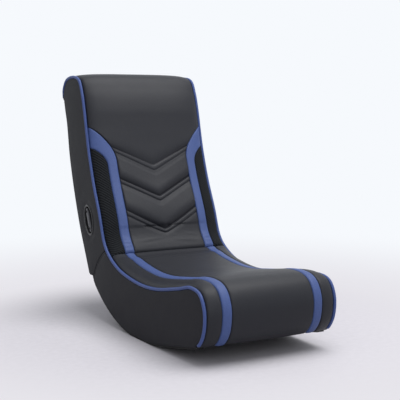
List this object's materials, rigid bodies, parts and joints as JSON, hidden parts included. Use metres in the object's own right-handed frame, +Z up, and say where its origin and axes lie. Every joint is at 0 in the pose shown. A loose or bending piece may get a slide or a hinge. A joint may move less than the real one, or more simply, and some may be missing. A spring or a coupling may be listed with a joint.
{
  "type": "gaming rocker chair",
  "caption": "Legless floor rocker: an upholstered seat block on curved runners and a back block hinged at the inner corner, folding forward onto it; side grip handle.",
  "frame": {"origin": "on the floor under the middle of the chair's box", "axes": "+Z up; +Y towards the back of the chair, so the sitter faces -Y; +X towards the sitter's left"},
  "size_m": [0.4, 0.9146, 0.7371],
  "materials": {
    "black_cover": "grained black artificial leather, satin",
    "blue_cover": "blue artificial leather, satin",
    "ribbed_fabric": "black fine diagonal weave",
    "lining": "black non-woven lining",
    "foam": "cream open-cell foam",
    "webbing": "dark woven elastic webbing",
    "plywood": "bare poplar plywood",
    "steel": "zinc-plated steel",
    "black_plastic": "moulded black plastic, fine texture",
    "rubber": "black rubber strip"
  },
  "bodies": {
    "seat": {"seat_centre_panel": "black_cover", "seat_strip_left": "blue_cover", "seat_strip_right": "blue_cover", "seat_bolster_panel_left": "black_cover", "seat_bolster_panel_right": "black_cover", "seat_piping_left": "blue_cover", "seat_piping_right": "blue_cover", "seat_side_board_left": "plywood", "seat_side_board_right": "plywood", "seat_side_cover_left": "black_cover", "seat_side_cover_right": "black_cover", "runner_left": "rubber", "runner_right": "rubber", "seat_rear_cover": "lining", "bottom_cover": "lining", "seat_deck": "plywood", "seat_front_rail": "plywood", "seat_middle_rail": "plywood", "seat_rear_rail": "plywood", "seat_hinge_rail": "plywood", "hinge_seat_leaf_left": "steel", "hinge_seat_leaf_right": "steel", "hinge_pin_left": "steel", "hinge_pin_right": "steel", "seat_foam": "foam"},
    "back": {"back_centre_panel": "black_cover", "back_strip_left": "blue_cover", "back_strip_right": "blue_cover", "back_ribbed_panel_left": "ribbed_fabric", "back_ribbed_panel_right": "ribbed_fabric", "back_piping_left": "blue_cover", "back_piping_right": "blue_cover", "back_side_board_left": "plywood", "back_side_board_right": "plywood", "back_side_cover_left": "black_cover", "back_side_cover_right": "black_cover", "handle_cup": "black_plastic", "handle_screw_upper": "steel", "handle_screw_lower": "steel", "handle_grip": "black_plastic", "back_rear_cover": "lining", "back_bottom_cover": "lining", "back_hinge_rail": "plywood", "hinge_back_leaf_left": "steel", "hinge_back_leaf_right": "steel", "back_top_rail": "plywood", "back_middle_rail": "plywood", "back_foam": "foam", "back_webbing_1": "webbing", "back_webbing_2": "webbing", "back_webbing_3": "webbing", "back_webbing_4": "webbing"}
  },
  "joints": [
    {"name": "back_fold", "type": "hinge", "parent": "seat", "child": "back", "pos_m": [0, 0.12519, 0.22162], "axis": [1, 0, 0], "range_deg": [0, 107]}
  ]
}
